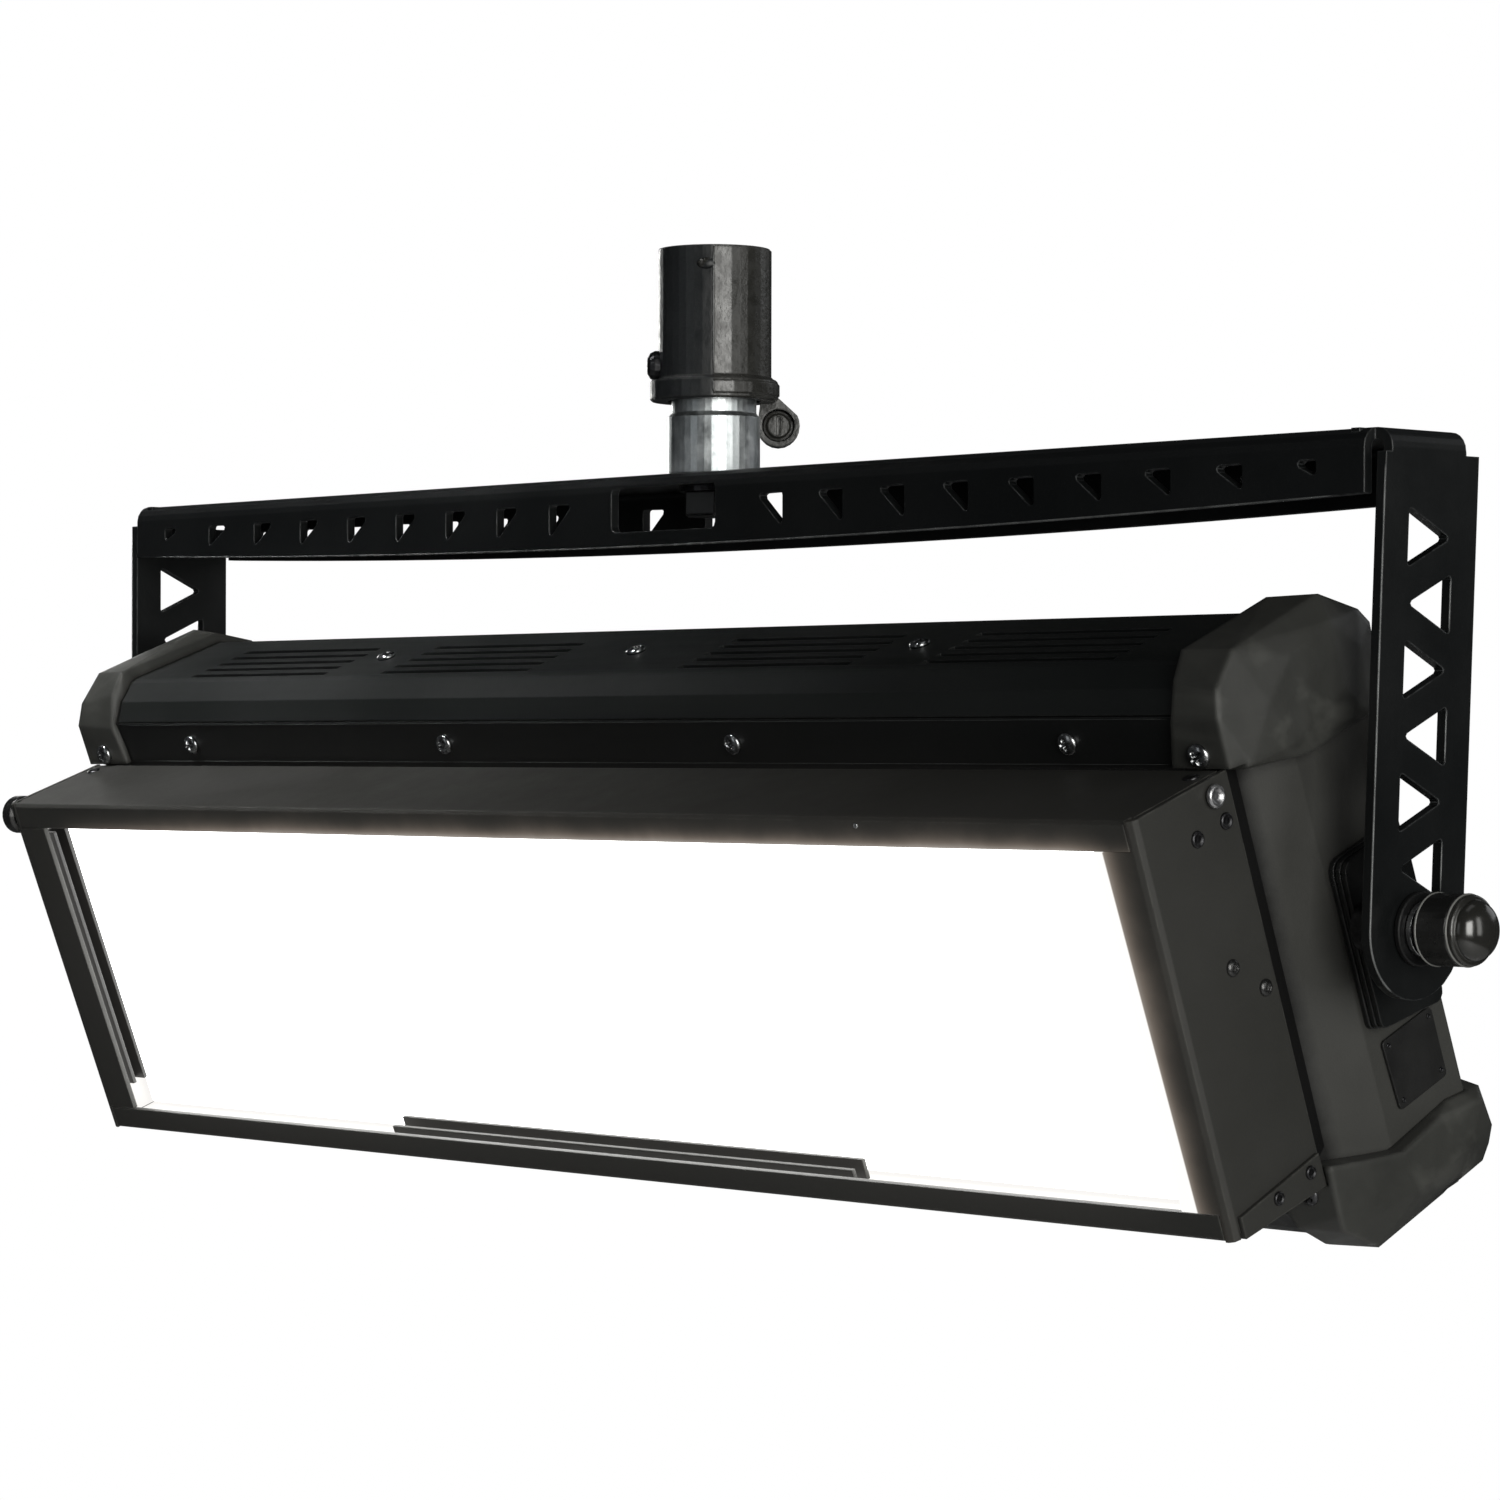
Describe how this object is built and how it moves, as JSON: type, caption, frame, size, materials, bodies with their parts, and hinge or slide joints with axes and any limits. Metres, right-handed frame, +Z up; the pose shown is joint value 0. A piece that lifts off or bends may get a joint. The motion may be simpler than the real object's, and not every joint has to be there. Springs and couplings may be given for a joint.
{
  "type": "led soft light",
  "caption": "Linear soft light with a shallow hood and slotted housing, tilting in a bent steel yoke that turns on a spigot in a hanger socket.",
  "frame": {"origin": "centre of the flat top face of the hanger socket, on the pan axis", "axes": "+Z up along the pan axis, +X along the beam, the light points to -Y and 20.6 degrees below level"},
  "size_m": [0.599, 0.1447, 0.2833],
  "materials": {
    "black_paint": "satin black powder coat",
    "hood_paint": "fine matt charcoal powder coat",
    "black_plastic": "moulded, semi-matt",
    "bumper_plastic": "moulded, faceted, semi-matt",
    "zinc": "bright zinc plate",
    "bright_steel": "bright",
    "dark_steel": "blackened",
    "diffuser": "opal sheet, lit",
    "aluminium": "plain",
    "white_board": "white coated board",
    "display": "clear over dark",
    "rubber": "matt"
  },
  "bodies": {
    "hanger": {"hanger_socket": "black_paint", "socket_cross_bolt": "dark_steel"},
    "clamp_screw": {"socket_clamp_screw": "dark_steel"},
    "yoke": {"spigot": "zinc", "spigot_washer": "bright_steel", "spigot_bolt": "dark_steel", "yoke_frame": "black_paint", "friction_washer_right": "rubber", "friction_washer_left": "rubber", "knob_washer_right": "bright_steel", "knob_washer_left": "bright_steel"},
    "knob_right": {"tilt_stud_right": "bright_steel", "tilt_knob_right": "black_plastic", "tilt_knob_cap_right": "black_plastic"},
    "knob_left": {"tilt_stud_left": "bright_steel", "tilt_knob_left": "black_plastic", "tilt_knob_cap_left": "black_plastic"},
    "head": {"accessory_rail_left": "hood_paint", "accessory_rail_right": "hood_paint", "band_screw_1": "bright_steel", "band_screw_2": "bright_steel", "band_screw_3": "bright_steel", "band_screw_4": "bright_steel", "bottom_cover": "black_paint", "bumper_lower_left": "bumper_plastic", "bumper_lower_right": "bumper_plastic", "bumper_upper_left": "bumper_plastic", "bumper_upper_right": "bumper_plastic", "control_panel": "black_plastic", "data_input": "dark_steel", "data_output": "dark_steel", "diffuser": "diffuser", "display_window": "display", "end_plate_left": "hood_paint", "end_plate_right": "hood_paint", "front_frame": "black_paint", "heat_sink": "aluminium", "hinge_pin_left": "bright_steel", "hinge_pin_right": "bright_steel", "hood_bottom": "hood_paint", "hood_side_left": "hood_paint", "hood_side_right": "hood_paint", "led_board": "white_board", "led_driver": "aluminium", "pivot_boss_left": "dark_steel", "pivot_boss_right": "dark_steel", "pivot_bracket_left": "black_paint", "pivot_bracket_right": "black_paint", "power_inlet": "black_plastic", "rear_cover": "black_paint", "side_plate_right": "black_plastic", "top_cover": "black_paint", "top_screw_1": "bright_steel", "top_screw_2": "bright_steel", "top_screw_3": "bright_steel"},
    "flap": {"hood_top_flap": "hood_paint"},
    "latch": {"latch_knob": "black_plastic"},
    "key_down": {"button_down": "rubber"},
    "key_up": {"button_up": "rubber"},
    "key_enter": {"button_enter": "rubber"}
  },
  "joints": [
    {"name": "pan", "type": "hinge", "parent": "hanger", "child": "yoke", "pos_m": [0, 0, -0.03], "axis": [0, 0, 1], "continuous": true},
    {"name": "clamp_turn", "type": "hinge", "parent": "hanger", "child": "clamp_screw", "pos_m": [0.00366, 0.02323, -0.0527], "axis": [-0.7373, 0.6756, 0], "range_deg": [-360, 0]},
    {"name": "tilt", "type": "hinge", "parent": "yoke", "child": "head", "pos_m": [0, 0, -0.1978], "axis": [1, 0, 0], "range_deg": [-110, 70]},
    {"name": "knob_right_turn", "type": "hinge", "parent": "yoke", "child": "knob_right", "pos_m": [0.279, 0, -0.1978], "axis": [1, 0, 0], "range_deg": [0, 360]},
    {"name": "knob_left_turn", "type": "hinge", "parent": "yoke", "child": "knob_left", "pos_m": [-0.2839, 0, -0.1978], "axis": [-1, 0, 0], "range_deg": [0, 360]},
    {"name": "flap_open", "type": "hinge", "parent": "head", "child": "flap", "pos_m": [0, -0.05602, -0.1633], "axis": [-1, 0, 0], "range_deg": [0, 88]},
    {"name": "latch_pull", "type": "slide", "parent": "head", "child": "latch", "axis": [-1, 0, 0], "range_m": [0, 0.004], "stiffness_N_per_m": 300, "springref_m": -0.002},
    {"name": "press_down", "type": "slide", "parent": "head", "child": "key_down", "axis": [0, -0.9361, -0.3518], "range_m": [0, 0.0012], "stiffness_N_per_m": 150, "springref_m": -0.0006},
    {"name": "press_up", "type": "slide", "parent": "head", "child": "key_up", "axis": [0, -0.9361, -0.3518], "range_m": [0, 0.0012], "stiffness_N_per_m": 150, "springref_m": -0.0006},
    {"name": "press_enter", "type": "slide", "parent": "head", "child": "key_enter", "axis": [0, -0.9361, -0.3518], "range_m": [0, 0.0012], "stiffness_N_per_m": 150, "springref_m": -0.0006}
  ]
}
